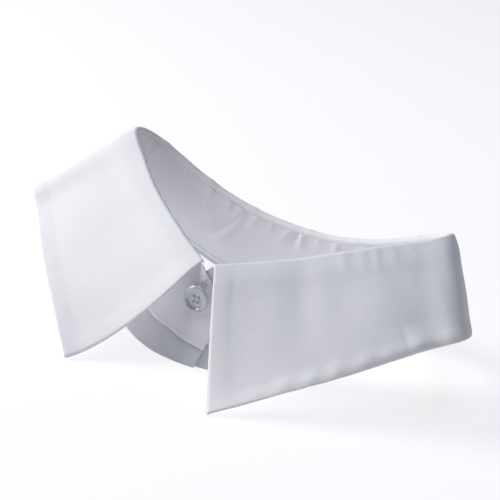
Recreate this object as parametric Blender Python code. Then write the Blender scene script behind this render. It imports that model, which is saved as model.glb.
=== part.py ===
"""Detachable shirt collar of crisp white cotton, buttoned at the throat and standing by itself.

Metres, +Z up.  X runs across the collar, the two points face -Y and the back is at +Y.
The wearer's right side is at -X.  The origin is under the middle of the collar, on the surface
that it stands on.
"""
import math
from collections import namedtuple

import bmesh
import bpy
from mathutils import Matrix, Vector

MM = 0.001

# Driving sizes in millimetres
LEAF_WALL = 1.3
STAND_WALL = 1.5
STRIP_WALL = 1.1
SEAM_GAP = 0.3
LAYER_GAP = 0.4
FOLD_RADIUS = 1.5
INNER_LEG = 1.2
SIDE_DIP = 1.5
SIDE_REACH = 77.0
TIP_LEAN = 1.0
TIP_LEAN_START = 0.8
WING_START = 0.985
OVERLAP = 11.0
OVERLAP_SKEW = 2.5
OVERLAP_ROUND = 9.0
LAYER_EASE = 24.0
BUTTON_WIDTH = 11.4
BUTTON_THICK = 2.4
BUTTON_DROP = 11.4
BUTTON_SIDE = 0.7
BUTTON_HOLE = 1.7
BUTTON_HOLE_SPREAD = 1.5
LAP_SLANT = 0.5
STRIP_SLANT_TOP = -0.5
STRIP_SLANT_MORE = -0.6
RING_MIDDLE_Y = 15.0
HALF_NECK = 194.0

# The button's outline, from the middle of its face to the middle of its back, as shares of half
# its width and half its thickness
BUTTON_PROFILE = [
    (0.0, 0.35), (0.52, 0.35), (0.66, 0.75), (0.80, 1.0), (0.92, 0.9),
    (1.0, 0.35), (1.0, -0.2), (0.9, -0.8), (0.7, -1.0), (0.0, -1.0),
]

# How finely the walls are divided
STATIONS_A_SECTION = 3
LEAF_ROWS = 9
ROLL_STEPS = 5
STAND_ROWS = 5
STRIP_ROWS = 3
END_STATIONS = 5
BUTTON_SIDES = 32
HOLE_SIDES = 12
WAY_STEP = 0.004
LEAST_WAY = 0.008
SHARP_DEGREES = 40.0

# Brings the highest point of part * part * (1 - part) to one
INWARD_PEAK = 6.75

# One row for each section through half of the collar, from the centre back to the centre front.
# share is the way along the fold line, fold the top of the fold, edge the free edge of the leaf,
# foot the lower edge of the band, strip the height of the strip below the stand, and bulge how far
# the leaf's middle stands out from the straight line between fold and edge.  Millimetres.
Section = namedtuple("Section", "share fold edge foot strip bulge")
SECTIONS = [
    Section(0.00, (0.0, 48.5, 36.3), (0.0, 77.0, 0.6), (0.0, 51.5, 0.3), 2.2, 2.0),
    Section(0.10, (19.5, 48.0, 37.8), (22.5, 76.0, 1.6), (20.0, 51.0, 1.5), 2.2, 2.0),
    Section(0.20, (38.0, 47.0, 42.6), (46.0, 71.5, 5.0), (39.5, 50.0, 6.0), 2.2, 2.0),
    Section(0.28, (52.5, 45.5, 48.6), (65.0, 62.5, 10.0), (54.5, 48.5, 11.5), 2.4, 1.8),
    Section(0.35, (64.5, 43.5, 54.8), (79.0, 50.0, 15.0), (67.5, 46.0, 17.0), 3.2, 1.4),
    Section(0.40, (72.3, 40.3, 59.1), (88.5, 36.5, 20.5), (76.0, 42.6, 20.0), 4.6, 1.0),
    Section(0.44, (76.6, 35.2, 61.7), (99.0, 17.0, 28.6), (80.6, 36.2, 21.3), 6.2, 0.9),
    Section(0.48, (76.2, 28.8, 62.0), (103.4, -1.0, 33.8), (80.6, 27.6, 20.5), 8.0, 1.0),
    Section(0.53, (71.5, 22.2, 60.2), (102.5, -8.5, 34.0), (76.6, 17.0, 17.0), 10.0, 1.1),
    Section(0.60, (62.0, 13.5, 56.7), (95.5, -14.5, 30.5), (67.5, 3.5, 12.0), 12.5, 1.0),
    Section(0.70, (48.0, 0.5, 52.0), (83.0, -28.0, 24.5), (50.5, -17.0, 5.5), 14.0, 0.6),
    Section(0.80, (33.0, -11.0, 47.5), (68.0, -43.5, 17.0), (32.0, -34.0, 1.2), 13.5, -0.5),
    Section(0.90, (17.5, -22.0, 43.5), (50.5, -60.0, 9.0), (16.0, -41.8, 0.0), 10.5, -1.8),
    Section(0.95, (9.0, -27.5, 41.5), (41.5, -68.5, 4.6), (8.0, -43.8, 0.0), 10.0, -2.6),
    Section(1.00, (0.0, -32.5, 39.8), (31.8, -77.6, 0.6), (0.0, -44.4, 0.0), 8.4, -3.2),
]


def clear_scene():
    for item in list(bpy.data.objects):
        bpy.data.objects.remove(item, do_unlink=True)


def make_collection(name):
    group = bpy.data.collections.new(name)
    bpy.context.scene.collection.children.link(group)
    return group


def make_material(name, colour, roughness, alpha=1.0):
    made = bpy.data.materials.new(name)
    made.use_nodes = True
    shader = made.node_tree.nodes["Principled BSDF"]
    shader.inputs["Base Color"].default_value = (*colour, 1.0)
    shader.inputs["Roughness"].default_value = roughness
    shader.inputs["Metallic"].default_value = 0.0
    shader.inputs["Alpha"].default_value = alpha
    return made


def column(field, share):
    """The value of one column at a share of the half neck, on a smooth curve through the rows."""
    rows = SECTIONS
    last = len(rows) - 1
    share = min(max(share, 0.0), 1.0)
    low = max(i for i in range(last) if rows[i].share <= share)

    def value(index):
        found = getattr(rows[abs(index)] if index <= last else rows[2 * last - index], field)
        if not isinstance(found, tuple):
            return Vector((found, 0.0, 0.0))
        mirror = index < 0 or (index > last and field != "edge")
        return Vector((-found[0] if mirror else found[0], found[1], found[2]))

    def place(index):
        if index < 0:
            return -rows[-index].share
        return rows[index].share if index <= last else 2.0 - rows[2 * last - index].share

    def slope(index):
        if field == "edge" and index == last:
            return (value(last) - value(last - 1)) / (place(last) - place(last - 1))
        before = (value(index) - value(index - 1)) / (place(index) - place(index - 1))
        after = (value(index + 1) - value(index)) / (place(index + 1) - place(index))
        back = place(index) - place(index - 1)
        ahead = place(index + 1) - place(index)
        return (before * ahead + after * back) / (back + ahead)

    span = place(low + 1) - place(low)
    t = (share - place(low)) / span
    return (
        value(low) * (2 * t**3 - 3 * t**2 + 1)
        + slope(low) * span * (t**3 - 2 * t**2 + t)
        + value(low + 1) * (3 * t**2 - 2 * t**3)
        + slope(low + 1) * span * (t**3 - t**2)
    )


def ring_point(field, way):
    """A point of a column at a signed way round the ring: 0 is the back, -1 and 1 the throat.

    The fold stands a little lower on the wearer's left than on the right, and both points of the
    leaf lean a little to the wearer's right.
    """
    side = -1.0 if way < 0.0 else 1.0
    share = abs(way)
    if share > 1.0:
        share = 2.0 - share
        side = -side
    found = column(field, share)
    dip = SIDE_DIP * found.x * side / SIDE_REACH if field == "fold" else 0.0
    lean = 0.0
    if field == "edge":
        lean = TIP_LEAN * max(share - TIP_LEAN_START, 0.0) / (1.0 - TIP_LEAN_START)
    return Vector((found.x * side - lean, found.y, max(found.z - dip, 0.0)))


def frame_at(way):
    """Fold point, roll centre, the band's and leaf's directions and their outer normals."""
    fold = ring_point("fold", way)
    before = ring_point("fold", way - WAY_STEP)
    along = (ring_point("fold", way + WAY_STEP) - before).normalized()
    down = (ring_point("foot", way) - fold).normalized()
    band_out = along.cross(down).normalized()
    if band_out.dot(Vector((fold.x, fold.y - RING_MIDDLE_Y, 0.0))) < 0.0:
        band_out.negate()
    spread = (ring_point("edge", way / WING_START) - fold).normalized()
    leaf_out = along.cross(spread).normalized()
    if leaf_out.z < 0.0:
        leaf_out.negate()
    top = (leaf_out - band_out).normalized()
    return fold - top * FOLD_RADIUS, down, band_out, leaf_out


def leaf_section(way):
    """Middle line of the leaf: a short inner leg, the rolled fold, then out to the free edge."""
    centre, down, band_out, leaf_out = frame_at(way)
    inner = -band_out
    points = [centre + inner * FOLD_RADIUS + down * INNER_LEG]
    turn = inner.angle(leaf_out)
    for step in range(ROLL_STEPS + 1):
        part = step / ROLL_STEPS
        bent = inner * math.sin((1.0 - part) * turn) + leaf_out * math.sin(part * turn)
        points.append(centre + bent.normalized() * FOLD_RADIUS)
    start = points[-1]
    edge = ring_point("edge", way / WING_START)
    proud = column("bulge", abs(way)).x
    for step in range(1, LEAF_ROWS + 1):
        part = step / LEAF_ROWS
        swell = 4.0 * part * (1.0 - part)
        if proud < 0.0:
            swell = INWARD_PEAK * part * part * (1.0 - part)
        bulge = leaf_out * (proud * swell)
        points.append(start.lerp(edge, part) + bulge)
    return points


def band_line(way):
    """Top and foot of the band's middle line, below the leaf's inner leg."""
    centre, down, band_out, _ = frame_at(way)
    top = centre - band_out * FOLD_RADIUS + down * (INNER_LEG + SEAM_GAP)
    return top, ring_point("foot", way), band_out


def layer_shift(way):
    """How far the band stands off its middle line where its two ends lie on each other."""
    past = abs(way) - (1.0 - (OVERLAP + LAYER_EASE) / HALF_NECK)
    ease = min(max(past * HALF_NECK / LAYER_EASE, 0.0), 1.0)
    ease = ease * ease * (3.0 - 2.0 * ease)
    side = 1.0 if way < 0.0 else -1.0
    return side * ease * (STAND_WALL + LAYER_GAP) / 2.0


def ways_round(end):
    """Ways round the ring up to a way near each end, closest together where the rows are."""
    half = [0.0]
    for low, high in zip(SECTIONS, SECTIONS[1:]):
        step = (high.share - low.share) / STATIONS_A_SECTION
        half += [low.share + step * (i + 1) for i in range(STATIONS_A_SECTION)]
    half = [share for share in half if share < end - LEAST_WAY] + [end]
    return [-share for share in reversed(half[1:])] + half


def band_ways():
    """Ways round the band from the outer end past the throat to the inner end."""
    lap = [OVERLAP / HALF_NECK * (i + 1) / END_STATIONS for i in range(END_STATIONS)]
    return [-1.0 - way for way in reversed(lap)] + ways_round(1.0) + [1.0 + way for way in lap]


def band_grid(rows, strip):
    """Middle grid of the stand (strip False) or of the strip below it (strip True)."""
    grid = []
    for way in band_ways():
        past = max(abs(way) - 1.0, 0.0) * HALF_NECK / OVERLAP
        line = []
        for row in range(rows + 1):
            part = row / rows
            slant = STRIP_SLANT_TOP + STRIP_SLANT_MORE * part if strip else LAP_SLANT - part
            bent = way + math.copysign(OVERLAP_SKEW * past * slant / HALF_NECK, way)
            top, foot, out = band_line(bent)
            share = abs(bent) if abs(bent) <= 1.0 else 2.0 - abs(bent)
            tall = (foot - top).length
            seam = 1.0 - column("strip", share).x / tall
            if strip:
                begin = seam + SEAM_GAP / tall
                depth = begin + (1.0 - begin) * part
            else:
                rounded = OVERLAP_ROUND * (1.0 - math.sqrt(max(1.0 - past * past, 0.0)))
                lowered = (rounded + abs(layer_shift(way))) / tall
                depth = lowered + (seam - lowered) * part
            level_out = Vector((out.x, out.y, 0.0))
            line.append(top.lerp(foot, depth) + level_out * layer_shift(way))
        grid.append(line)
    return grid


def wall_object(name, grid, wall, material, group, level_foot):
    """Close a grid of middle points into a wall of even thickness, one body facing out."""
    count = len(grid)
    rows = len(grid[0])
    mesh = bmesh.new()
    corner = {}
    for side in (1.0, -1.0):
        for i in range(count):
            for j in range(rows):
                along = grid[min(i + 1, count - 1)][j] - grid[max(i - 1, 0)][j]
                across = grid[i][min(j + 1, rows - 1)] - grid[i][max(j - 1, 0)]
                normal = across.cross(along).normalized()
                point = grid[i][j] + normal * (side * wall / 2.0)
                if level_foot and j == rows - 1:
                    point.z = grid[i][j].z
                corner[side, i, j] = mesh.verts.new(point * MM)
    for i in range(count - 1):
        for j in range(rows - 1):
            corners = [(i, j), (i + 1, j), (i + 1, j + 1), (i, j + 1)]
            mesh.faces.new([corner[1.0, a, b] for a, b in corners])
            mesh.faces.new([corner[-1.0, a, b] for a, b in reversed(corners)])
    rim = [(i, 0) for i in range(count)] + [(count - 1, j) for j in range(1, rows)]
    rim += [(i, rows - 1) for i in range(count - 2, -1, -1)] + [(0, j) for j in range(rows - 2, 0, -1)]
    for here, there in zip(rim, rim[1:] + rim[:1]):
        mesh.faces.new([
            corner[(1.0, *here)],
            corner[(-1.0, *here)],
            corner[(-1.0, *there)],
            corner[(1.0, *there)],
        ])
    bmesh.ops.recalc_face_normals(mesh, faces=mesh.faces)
    return finish_object(name, mesh, material, group)


def finish_object(name, mesh, material, group):
    data = bpy.data.meshes.new(name)
    mesh.to_mesh(data)
    mesh.free()
    data.materials.append(material)
    data.shade_smooth()
    data.set_sharp_from_angle(angle=math.radians(SHARP_DEGREES))
    item = bpy.data.objects.new(name, data)
    group.objects.link(item)
    return item


def make_leaf(group):
    """The leaf that folds down over the stand, in one piece from point to point."""
    cloth = make_material("LeafCotton", (0.86, 0.86, 0.88), 0.85)
    grid = [leaf_section(way) for way in ways_round(WING_START)]
    return wall_object("collar_leaf", grid, LEAF_WALL, cloth, group, False)


def make_stand(group):
    """The standing band, buttoned with its right end over its left."""
    cloth = make_material("StandCotton", (0.82, 0.82, 0.85), 0.85)
    return wall_object("stand", band_grid(STAND_ROWS, False), STAND_WALL, cloth, group, False)


def make_strip(group):
    """The narrow strip sewn below the stand, which the collar stands on at the throat."""
    cloth = make_material("StripCotton", (0.80, 0.80, 0.84), 0.88)
    return wall_object("strip", band_grid(STRIP_ROWS, True), STRIP_WALL, cloth, group, True)


def make_button(group, cutters):
    """A turned button with a raised rim, a sunken middle and four holes."""
    radius = BUTTON_WIDTH / 2.0
    half = BUTTON_THICK / 2.0
    mesh = bmesh.new()
    rings = []
    for wide, tall in BUTTON_PROFILE:
        reach = wide * radius
        height = tall * half
        if reach == 0.0:
            rings.append([mesh.verts.new((0.0, 0.0, height * MM))])
            continue
        ring = []
        for k in range(BUTTON_SIDES):
            turn = 2.0 * math.pi * k / BUTTON_SIDES
            spot = Vector((reach * math.cos(turn), reach * math.sin(turn), height))
            ring.append(mesh.verts.new(spot * MM))
        rings.append(ring)
    for upper, lower in zip(rings, rings[1:]):
        for k in range(BUTTON_SIDES):
            after = (k + 1) % BUTTON_SIDES
            corners = [upper[k % len(upper)], lower[k % len(lower)]]
            corners += [lower[after % len(lower)], upper[after % len(upper)]]
            mesh.faces.new(list(dict.fromkeys(corners)))
    bmesh.ops.recalc_face_normals(mesh, faces=mesh.faces)
    plastic = make_material("ButtonPlastic", (0.75, 0.76, 0.78), 0.15)
    item = finish_object("button", mesh, plastic, group)
    for index in range(4):
        turn = math.radians(45.0 + 90.0 * index)
        bore = bmesh.new()
        bmesh.ops.create_cone(bore, cap_ends=True, segments=HOLE_SIDES, radius1=BUTTON_HOLE / 2.0 * MM,
                              radius2=BUTTON_HOLE / 2.0 * MM, depth=4.0 * BUTTON_THICK * MM)
        spread = BUTTON_HOLE_SPREAD * MM
        place = Vector((spread * math.cos(turn), spread * math.sin(turn), 0.0))
        bmesh.ops.translate(bore, verts=bore.verts, vec=place)
        data = bpy.data.meshes.new("button_hole_%d" % (index + 1))
        bore.to_mesh(data)
        bore.free()
        cutter = bpy.data.objects.new(data.name, data)
        cutter.parent = item
        cutter.hide_render = True
        cutter.display_type = "WIRE"
        cutters.objects.link(cutter)
        hole = item.modifiers.new("hole_%d" % (index + 1), "BOOLEAN")
        hole.operation = "DIFFERENCE"
        hole.solver = "EXACT"
        hole.object = cutter
    top, foot, out = band_line(-1.0)
    tall = (foot - top).length
    start = BUTTON_DROP / tall
    centre = top.lerp(foot, start) + out * (layer_shift(-1.0) + STAND_WALL / 2.0 + SEAM_GAP + half)
    across = Vector((1.0, 0.0, 0.0))
    centre += across * BUTTON_SIDE
    up = out.cross(across).normalized()
    turned = Matrix((across, up, out)).transposed().to_4x4()
    item.matrix_world = Matrix.Translation(centre * MM) @ turned
    return item


def build():
    clear_scene()
    group = make_collection("DetachableShirtCollar")
    cutters = make_collection("Cutters")
    make_leaf(group)
    make_stand(group)
    make_strip(group)
    make_button(group, cutters)


build()
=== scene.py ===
import math
import bmesh
import bpy
import numpy as np
from mathutils import Matrix, Vector
from mathutils.bvhtree import BVHTree


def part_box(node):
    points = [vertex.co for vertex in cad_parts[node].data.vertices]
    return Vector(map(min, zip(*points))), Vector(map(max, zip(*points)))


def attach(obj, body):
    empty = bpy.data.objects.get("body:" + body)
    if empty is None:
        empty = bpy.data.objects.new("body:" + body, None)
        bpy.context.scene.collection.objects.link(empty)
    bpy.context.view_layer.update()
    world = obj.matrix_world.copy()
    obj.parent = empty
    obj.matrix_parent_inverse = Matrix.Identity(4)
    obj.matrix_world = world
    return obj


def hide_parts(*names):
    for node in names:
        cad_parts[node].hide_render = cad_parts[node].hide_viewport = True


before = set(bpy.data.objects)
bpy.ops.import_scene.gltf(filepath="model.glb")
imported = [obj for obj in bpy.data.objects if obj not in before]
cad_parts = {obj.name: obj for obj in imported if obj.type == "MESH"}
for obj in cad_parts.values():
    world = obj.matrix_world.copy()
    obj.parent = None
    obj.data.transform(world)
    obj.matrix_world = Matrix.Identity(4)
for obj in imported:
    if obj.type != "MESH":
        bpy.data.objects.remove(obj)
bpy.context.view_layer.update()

mm = 0.001

# the photograph's view, worked out from the two halves of the collar
view = {
    "azimuth": 24.0,        # degrees round from the front, towards the wearer's left
    "elevation": 20.0,
    "roll": 10.0,           # the picture is tilted
    "distance": 0.700,
    "target": (0.0, 0.027, 0.035),
    "focalPixels": 1599.7,  # focal length in pixels of the 500 pixel wide picture
    "centrePixel": (272.5, 240.7),
}

# the collar's own sizes, in millimetres
collar = {
    "halfNeck": 194.0,      # along the fold, from the middle of the back to the throat
    "foldRadius": 1.25,      # how tightly the leaf rolls over
    "innerLeg": 0.6,        # from the roll down to the seam inside the neck
    "foldAtEnd": 0.62,      # both are smaller where the leaf ends at the throat
    "legAtEnd": 0.45,
    "foldTaper": (166.0, 24.0),     # from here, over this length
    "wingStart": 0.985,     # share of the half neck where the leaf's front edge is
    "overlap": 11.0,        # how far each end of the stand runs past the throat
    "layerEase": 24.0,      # length over which the lapped ends part
    "layerStep": 0.95,      # how far each lapped end stands off the middle line
    "sideDip": 1.5,         # the wearer's left side sits this much lower
    "sideReach": 77.0,
    "tipLean": (1.0, 0.8),  # both points lean towards the wearer's right, from this share on
    "leafGrow": (           # the leaf's free edge stands this much beyond its solid: along the neck, mm
        (-194.0, -100.0, -60.0, 60.0, 100.0, 194.0),
        (0.7, 0.5, 0.3, 0.3, 0.9, 1.0),
    ),
    "foldLift": (           # and the fold this much above its solid's
        (-130.0, -106.0, -93.0, -79.0, -62.0, -42.0, -20.0),
        (0.0, 0.7, 1.1, 0.1, -0.6, -0.5, 0.0),
    ),
    "sideLift": (-97.0, 15.0, 1.0, 1.8),    # the wearer's right side of the free edge: where, width, in, up
    "seamGap": 0.25,         # between the leaf's inner edge and the stand
    "seamClose": 0.26,      # how much of that gap the seam closes
    "stripMore": (          # the strip is this much taller here and there: along the neck, mm
        (-212.0, -204.0, -197.5, -192.0, -186.0, -168.0, -140.0, -110.0),
        (-4.0, -2.2, 0.3, 1.7, 1.9, 1.8, 0.8, 0.0),
    ),
}

# sections from the middle of the back to the throat, in millimetres
sectionNames = ("share", "fold", "edge", "foot", "strip", "bulge")
sectionRows = [
    (0.00, (0.0, 48.5, 36.3), (0.0, 77.0, 0.6), (0.0, 51.5, 0.3), 2.2, 2.0),
    (0.10, (19.5, 48.0, 37.8), (22.5, 76.0, 1.6), (20.0, 51.0, 1.5), 2.2, 2.0),
    (0.20, (38.0, 47.0, 42.6), (46.0, 71.5, 5.0), (39.5, 50.0, 6.0), 2.2, 2.0),
    (0.28, (52.5, 45.5, 48.6), (65.0, 62.5, 10.0), (54.5, 48.5, 11.5), 2.4, 1.8),
    (0.35, (64.5, 43.5, 54.8), (79.0, 50.0, 15.0), (67.5, 46.0, 17.0), 3.2, 1.4),
    (0.40, (72.3, 40.3, 59.1), (88.5, 36.5, 20.5), (76.0, 42.6, 20.0), 4.6, 1.0),
    (0.44, (76.6, 35.2, 61.7), (99.0, 17.0, 28.6), (80.6, 36.2, 21.3), 6.2, 0.9),
    (0.48, (76.2, 28.8, 62.0), (103.4, -1.0, 33.8), (80.6, 27.6, 20.5), 8.0, 1.0),
    (0.53, (71.5, 22.2, 60.2), (102.5, -8.5, 34.0), (76.6, 17.0, 17.0), 10.0, 1.1),
    (0.60, (62.0, 13.5, 56.7), (95.5, -14.5, 30.5), (67.5, 3.5, 12.0), 12.5, 1.0),
    (0.70, (48.0, 0.5, 52.0), (83.0, -28.0, 24.5), (50.5, -17.0, 5.5), 14.0, 0.6),
    (0.80, (33.0, -11.0, 47.5), (68.0, -43.5, 17.0), (32.0, -34.0, 1.2), 13.5, -0.5),
    (0.90, (17.5, -22.0, 43.5), (50.5, -60.0, 9.0), (16.0, -41.8, 0.0), 10.5, -1.8),
    (0.95, (9.0, -27.5, 41.5), (41.5, -68.5, 4.6), (8.0, -43.8, 0.0), 10.0, -2.6),
    (1.00, (0.0, -32.5, 39.8), (31.8, -77.6, 0.6), (0.0, -44.4, 0.0), 8.4, -3.2),
]




def unit(v):
    return v / np.maximum(np.linalg.norm(v, axis=-1, keepdims=True), 1e-12)


def smoothStep(t):
    t = np.clip(t, 0.0, 1.0)
    return t * t * (3.0 - 2.0 * t)


# a smooth curve through one column of the sections; ways runs from -1 and 1 at the throat to 0 at the back
def columnCurve(name, ways, closed):
    k = sectionNames.index(name)
    isPoint = isinstance(sectionRows[0][k], tuple)
    shares = np.array([row[0] for row in sectionRows])
    values = np.array([row[k] if isPoint else (row[k], 0.0, 0.0) for row in sectionRows])
    flip = np.array([-1.0, 1.0, 1.0]) if isPoint else np.ones(3)
    knots = np.concatenate([-shares[::-1], shares[1:]])
    points = np.concatenate([values[::-1] * flip, values[1:]])
    if closed:  # the ring goes on past the throat on the other side
        more = len(shares) // 2
        knots = np.concatenate([knots[-1 - more:-1] - 2.0, knots, knots[1:1 + more] + 2.0])
        points = np.concatenate([points[-1 - more:-1], points, points[1:1 + more]])
    gaps = np.diff(knots)[:, None]
    rise = np.diff(points, axis=0) / gaps
    inner = (rise[:-1] * gaps[1:] + rise[1:] * gaps[:-1]) / (gaps[1:] + gaps[:-1])
    slope = np.concatenate([rise[:1], inner, rise[-1:]])
    low = np.clip(np.searchsorted(knots, ways, side="right") - 1, 0, len(knots) - 2)
    t = ((ways - knots[low]) / gaps[low, 0])[:, None]
    span = gaps[low]
    return (points[low] * (2 * t**3 - 3 * t**2 + 1) + slope[low] * span * (t**3 - 2 * t**2 + t)
            + points[low + 1] * (3 * t**2 - 2 * t**3) + slope[low + 1] * span * (t**3 - t**2))


# the collar's curves and the directions along them, at close steps round the neck, in mm
class Ring:
    steps, reach, soften = 1201, 1.12, 2.5

    def __init__(self):
        self.ways = np.linspace(-self.reach, self.reach, self.steps)
        self.fold = self.soft(columnCurve("fold", self.ways, True))
        self.foot = self.soft(columnCurve("foot", self.ways, True))
        cut = np.clip(self.ways / collar["wingStart"], -1.0, 1.0)
        sharpEdge = columnCurve("edge", cut, False)
        lean, leanStart = collar["tipLean"]
        sharpEdge[:, 0] -= lean * np.maximum(abs(cut) - leanStart, 0.0) / (1.0 - leanStart)
        self.edge = np.where((abs(cut) < 1.0)[:, None], self.soft(sharpEdge), sharpEdge)
        strip = columnCurve("strip", self.ways, True)
        strip[:, 0] += np.interp(self.ways * collar["halfNeck"], *collar["stripMore"])
        self.strip = self.soft(strip)[:, 0]
        self.bulge = columnCurve("bulge", np.clip(self.ways, -1.0, 1.0), False)[:, 0]
        self.fold[:, 2] -= collar["sideDip"] * self.fold[:, 0] / collar["sideReach"]
        raised = np.interp(self.ways * collar["halfNeck"], *collar["foldLift"])
        self.fold[:, 2] += self.soft(raised[:, None])[:, 0]
        self.foot[:, 2] = np.maximum(self.foot[:, 2], 0.0)
        along = unit(np.gradient(self.fold, axis=0))
        self.down = unit(self.foot - self.fold)
        self.bandOut = unit(np.cross(self.down, along))
        self.leafOut = unit(np.cross(unit(self.edge - self.fold), along))
        self.leafOut *= np.sign(self.leafOut[:, 2:3])
        level = (self.fold - np.array([0.0, 15.0, 0.0])) * np.array([1.0, 1.0, 0.0])
        self.bandOut *= np.sign((self.bandOut * level).sum(1, keepdims=True))
        taperStart, taperLong = collar["foldTaper"]
        tapered = smoothStep((abs(self.ways) * collar["halfNeck"] - taperStart) / taperLong)
        self.radius = collar["foldRadius"] + (collar["foldAtEnd"] - collar["foldRadius"]) * tapered
        self.leg = collar["innerLeg"] + (collar["legAtEnd"] - collar["innerLeg"]) * tapered
        r = self.radius[:, None]
        self.centre = self.fold - unit(self.leafOut - self.bandOut) * r
        self.turn = np.arccos(np.clip((-self.bandOut * self.leafOut).sum(1), -1.0, 1.0))
        self.leafTop = self.centre + self.leafOut * r
        s = self.ways * collar["halfNeck"]
        grow = self.soft(np.interp(s, *collar["leafGrow"])[:, None])
        place, wide, inward, up = collar["sideLift"]
        lift = np.exp(-((s - place) / wide) ** 2)[:, None]
        self.edge += unit(self.edge - self.leafTop) * grow + np.array([inward, 0.0, up]) * lift
        self.leafLong = np.linalg.norm(self.edge - self.leafTop, axis=1)
        self.bandTop = self.centre - self.bandOut * r + self.down * (self.leg[:, None] + collar["seamGap"])
        self.bandTall = np.linalg.norm(self.foot - self.bandTop, axis=1)

    def soft(self, curve):  # takes the small corners at the rows off a curve
        step = (self.ways[1] - self.ways[0]) * collar["halfNeck"]
        reach = int(3 * self.soften / step)
        weights = np.exp(-0.5 * (np.arange(-reach, reach + 1) * step / self.soften) ** 2)
        weights /= weights.sum()
        before, after = 2 * curve[:1] - curve[reach:0:-1], 2 * curve[-1:] - curve[-2:-reach - 2:-1]
        padded = np.concatenate([before, curve, after])
        return np.stack([np.convolve(column, weights, "valid") for column in padded.T], axis=1)

    def at(self, name, ways):
        values = getattr(self, name)
        if values.ndim == 1:
            return np.interp(ways, self.ways, values)
        return np.stack([np.interp(ways, self.ways, values[:, k]) for k in range(3)], axis=-1)


ring = Ring()
print("stage: the collar's curves are ready")


# middle of the leaf: down is mm from the inner seam, over the roll and out to the free edge
def leafMiddle(ways, down):
    r, legLong = ring.at("radius", ways)[..., None], ring.at("leg", ways)[..., None]
    inner, out = -unit(ring.at("bandOut", ways)), unit(ring.at("leafOut", ways))
    centre, fall = ring.at("centre", ways), unit(ring.at("down", ways))
    turn, proud = ring.at("turn", ways)[..., None], ring.at("bulge", ways)[..., None]
    top, edge, long = ring.at("leafTop", ways), ring.at("edge", ways), ring.at("leafLong", ways)[..., None]
    down = down[..., None]
    leg = centre + inner * r + fall * (legLong - down)
    rolled = np.clip((down - legLong) / (r * turn), 0.0, 1.0)
    bent = unit(inner * np.sin((1.0 - rolled) * turn) + out * np.sin(rolled * turn))
    part = np.clip((down - legLong - r * turn) / long, 0.0, 1.0)
    swell = np.where(proud > 0.0, 4.0 * part * (1.0 - part), 6.75 * part * part * (1.0 - part))
    leaf = top + (edge - top) * part + out * proud * swell
    return np.where(down < legLong, leg, np.where(part > 0.0, leaf, centre + bent * r))


# mm from the inner seam to the crest of the fold, and to the free edge
def foldDown(ways):
    return ring.at("leg", ways) + ring.at("radius", ways) * ring.at("turn", ways) / 2.0


def leafDepth(ways):
    return 2.0 * foldDown(ways) - ring.at("leg", ways) + ring.at("leafLong", ways)


# middle of the stand and strip: down is mm from the seam under the fold
def bandMiddle(ways, down):
    top, foot = ring.at("bandTop", ways), ring.at("foot", ways)
    tall = ring.at("bandTall", ways)[..., None]
    out = ring.at("bandOut", ways) * np.array([1.0, 1.0, 0.0])
    past = (abs(ways) - 1.0) * collar["halfNeck"] + collar["overlap"] + collar["layerEase"]
    shift = -np.sign(ways) * smoothStep(past / collar["layerEase"]) * collar["layerStep"]
    return top + (foot - top) * down[..., None] / tall + out * shift[..., None]


# places along a length, close together at the ends so that an edge can be rounded
def spaced(length, step, ends=(True, True)):
    fine = (0.0, 0.05, 0.14, 0.28, 0.48, 0.75, 1.15, 1.8)
    first = list(fine) if ends[0] else [0.0]
    last = [length - d for d in reversed(fine)] if ends[1] else [length]
    count = max(2, int(round((last[0] - first[-1]) / step)))
    return np.array(first + list(np.linspace(first[-1], last[0], count + 1)[1:-1]) + last)


# half the wall's thickness near an edge: nothing at the edge itself, full after radius
def roundedEdge(distance, half, radius):
    t = np.clip(distance / radius, 0.0, 1.0)
    return half * np.sqrt(np.maximum(1.0 - (1.0 - t) ** 2, 0.0))


# soft ridges (height above 0) and troughs (below 0) placed one by one, each from one place to another:
# along the neck, mm from the top, the same at its end, half width, height, sideways bow
def creaseRelief(along, across, rows):
    relief = np.zeros(along.shape)
    for s0, q0, s1, q1, wide, height, bow in rows:
        length = math.hypot(s1 - s0, q1 - q0)
        ds, dq = (s1 - s0) / length, (q1 - q0) / length
        t = ((along - s0) * ds + (across - q0) * dq) / length
        held = np.clip(t, 0.0, 1.0)
        side = (along - s0) * dq - (across - q0) * ds - bow * 4.0 * held * (1.0 - held)
        beyond = (t - held) * length
        fade = 0.35 + 0.65 * np.sin(math.pi * np.clip(0.08 + 0.84 * held, 0.0, 1.0))
        relief += height * fade * np.exp(-(side**2 + (0.6 * beyond) ** 2) / wide**2)
    return relief


# short ripples that start at an edge and die out: place along the neck, half width, height, reach
def rippleRelief(along, fromEdge, rows):
    relief = np.zeros(along.shape)
    for s0, wide, height, reach in rows:
        lean = 0.12 * height / abs(height) * fromEdge
        fade = smoothStep(1.0 - fromEdge / reach) * (0.45 + 0.55 * smoothStep(fromEdge / 3.0))
        relief += height * fade * np.exp(-((along - s0 + lean) / wide) ** 2)
    return relief


def outward(grid):
    return unit(np.cross(np.gradient(grid, axis=0), np.gradient(grid, axis=1)))


# lengths along one direction of a grid of points, summed from its start
def runLength(grid, axis):
    steps = np.linalg.norm(np.diff(grid, axis=axis), axis=2)
    total = np.cumsum(steps, axis=axis)
    return np.concatenate([np.zeros_like(np.take(total, [0], axis=axis)), total], axis=axis)


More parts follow.
